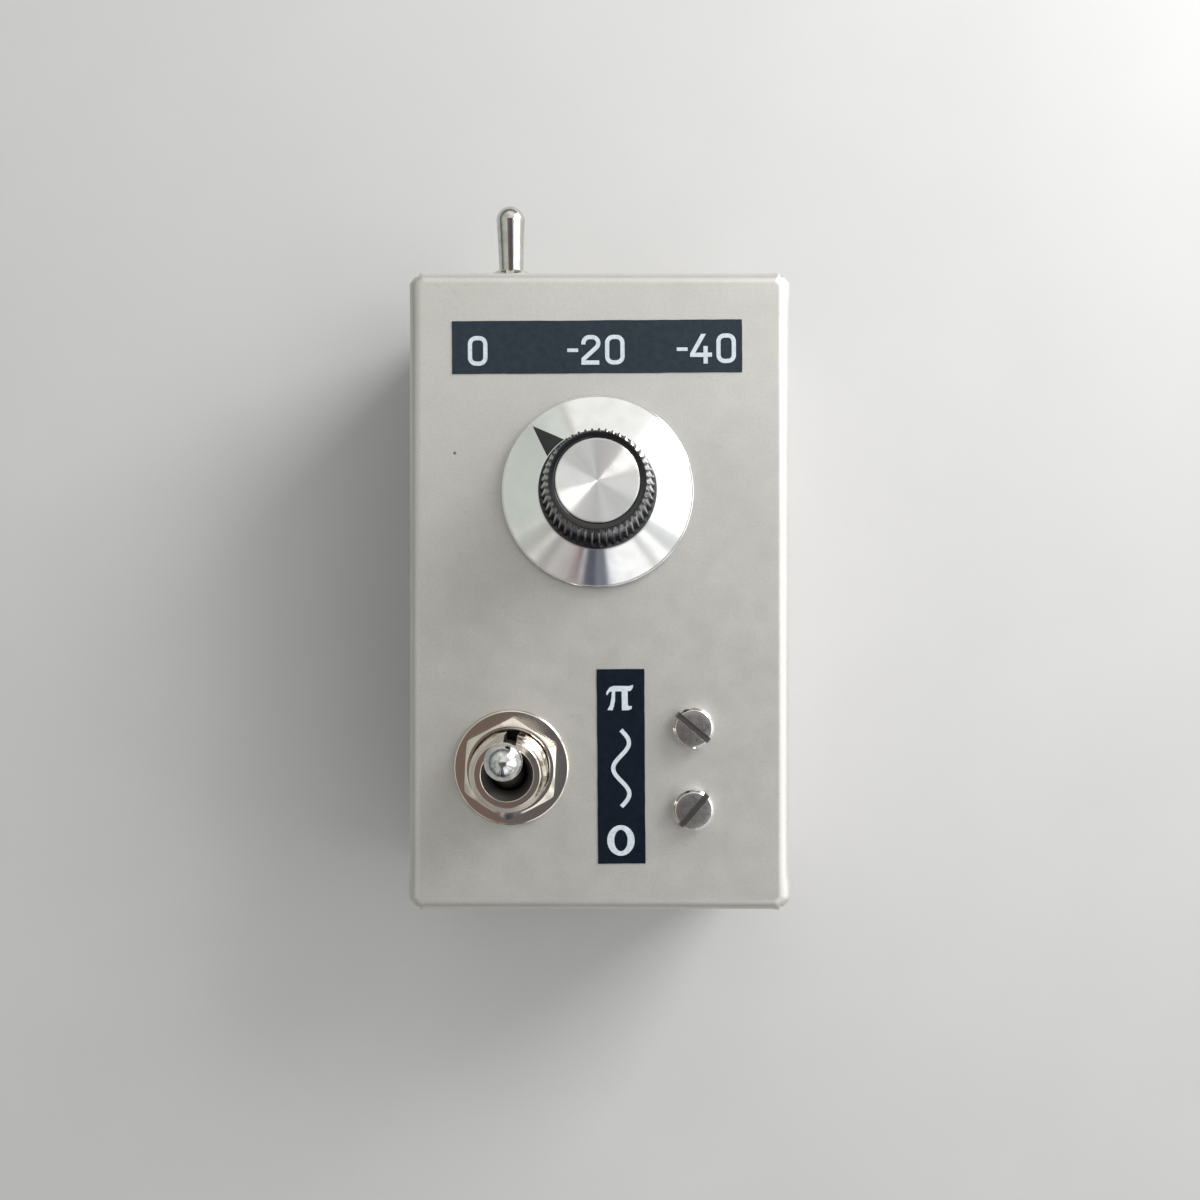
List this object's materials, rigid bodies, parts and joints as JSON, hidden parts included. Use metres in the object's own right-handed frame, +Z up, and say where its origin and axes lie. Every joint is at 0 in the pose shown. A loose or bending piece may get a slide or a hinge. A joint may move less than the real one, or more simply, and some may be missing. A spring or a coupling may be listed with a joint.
{
  "type": "antenna attenuator and phase switch box",
  "caption": "Small steel control box for an aerial lead: a stepped selector with a skirted knob and a phase toggle on the face, a bat toggle and plug sockets in the end walls.",
  "frame": {"origin": "centre of the base cover's outer face, which the box rests on", "axes": "+Z up out of the control face, +Y towards the end wall with the bat toggle, +X to the right seen from above with +Y away"},
  "size_m": [0.0608, 0.1196, 0.0599],
  "materials": {
    "case_paint": "satin warm light grey paint with a fine speckle",
    "scale_film": "slate blue-grey label film with pale printed figures",
    "phase_film": "near-black navy label film with pale printed marks",
    "black_plastic": "moulded black, fluted grip",
    "spun_aluminium": "spun and polished, circular lay",
    "nickel": "bright nickel plate",
    "chrome": "bright chrome plate",
    "plated_steel": "zinc plate",
    "bright_steel": "ground",
    "dark_steel": "black oxide",
    "spring_steel": "drawn wire",
    "tinned_brass": "tinned",
    "spring_bronze": "rolled strip",
    "raw_brass": "turned",
    "nylon": "natural nylon",
    "dark_phenolic": "moulded",
    "brown_phenolic": "paper laminate",
    "red_phenolic": "moulded",
    "circuit_laminate": "glass laminate with solder mask",
    "ferrite": "sintered",
    "enamelled_copper": "enamelled wire",
    "resistor_body": "coated body with tinned leads",
    "red_insulation": "extruded insulation",
    "black_insulation": "extruded insulation"
  },
  "bodies": {
    "case": {"case_shell": "case_paint", "base_cover": "case_paint", "cover_screws": "plated_steel", "scale_label": "scale_film", "phase_label": "phase_film", "selector_housing": "dark_phenolic", "selector_lock_washer": "plated_steel", "selector_nut": "nickel", "selector_wafer": "brown_phenolic", "selector_lugs": "tinned_brass", "phase_bushing": "nickel", "phase_flat_washer": "nickel", "phase_nut": "nickel", "phase_lock_washer": "plated_steel", "phase_frame": "plated_steel", "phase_switch_body": "red_phenolic", "phase_terminals": "tinned_brass", "phase_pivot_pin": "bright_steel", "end_bushing": "nickel", "end_flat_washer": "nickel", "end_nut": "nickel", "end_lock_washer": "plated_steel", "end_frame": "plated_steel", "end_switch_body": "red_phenolic", "end_terminals": "tinned_brass", "end_pivot_pin": "bright_steel", "input_socket_bushing": "nickel", "input_socket_body": "black_plastic", "output_socket_bushing": "nickel", "output_socket_body": "black_plastic", "socket_washers": "nickel", "socket_nuts": "nickel", "socket_contacts": "spring_bronze", "board_screws": "nickel", "board_spacers": "nylon", "board_nuts": "plated_steel", "circuit_board": "circuit_laminate", "toroid_core": "ferrite", "toroid_winding": "enamelled_copper", "attenuator_resistors": "resistor_body", "signal_wires": "red_insulation", "ground_wires": "black_insulation"},
    "selector": {"selector_shaft": "nickel", "selector_rotor": "nylon", "selector_wipers": "spring_bronze", "detent_balls": "bright_steel", "detent_springs": "spring_steel", "knob_body": "black_plastic", "knob_skirt": "spun_aluminium", "knob_cap": "spun_aluminium", "knob_insert": "raw_brass", "knob_set_screw": "dark_steel"},
    "phase_toggle": {"phase_lever": "chrome", "phase_plunger": "nylon", "phase_plunger_spring": "spring_steel"},
    "phase_contacts": {"phase_rockers": "spring_bronze"},
    "end_toggle": {"end_lever": "chrome", "end_plunger": "nylon", "end_plunger_spring": "spring_steel"},
    "end_contacts": {"end_rocker": "spring_bronze"}
  },
  "joints": [
    {"name": "selector_turn", "type": "hinge", "parent": "case", "child": "selector", "pos_m": [-0.0003, 0.0155, 0.038], "axis": [0, 0, 1], "range_deg": [-90, 0]},
    {"name": "phase_throw", "type": "hinge", "parent": "case", "child": "phase_toggle", "pos_m": [-0.0138, -0.0276, 0.042], "axis": [0.9962, -0.0872, 0], "range_deg": [0, 24]},
    {"name": "phase_rock", "type": "hinge", "parent": "case", "child": "phase_contacts", "pos_m": [-0.0138, -0.0276, 0.02575], "axis": [0.9962, -0.0872, 0], "range_deg": [-16, 0]},
    {"name": "end_throw", "type": "hinge", "parent": "case", "child": "end_toggle", "pos_m": [-0.0152, 0.0514, 0.019], "axis": [-1, 0, 0], "range_deg": [0, 24]},
    {"name": "end_rock", "type": "hinge", "parent": "case", "child": "end_contacts", "pos_m": [-0.0152, 0.04125, 0.019], "axis": [-1, 0, 0], "range_deg": [-16, 0]}
  ],
  "couplings": [
    {"joint": "phase_rock", "follows": "phase_throw", "ratio": -0.66667},
    {"joint": "end_rock", "follows": "end_throw", "ratio": -0.66667}
  ]
}
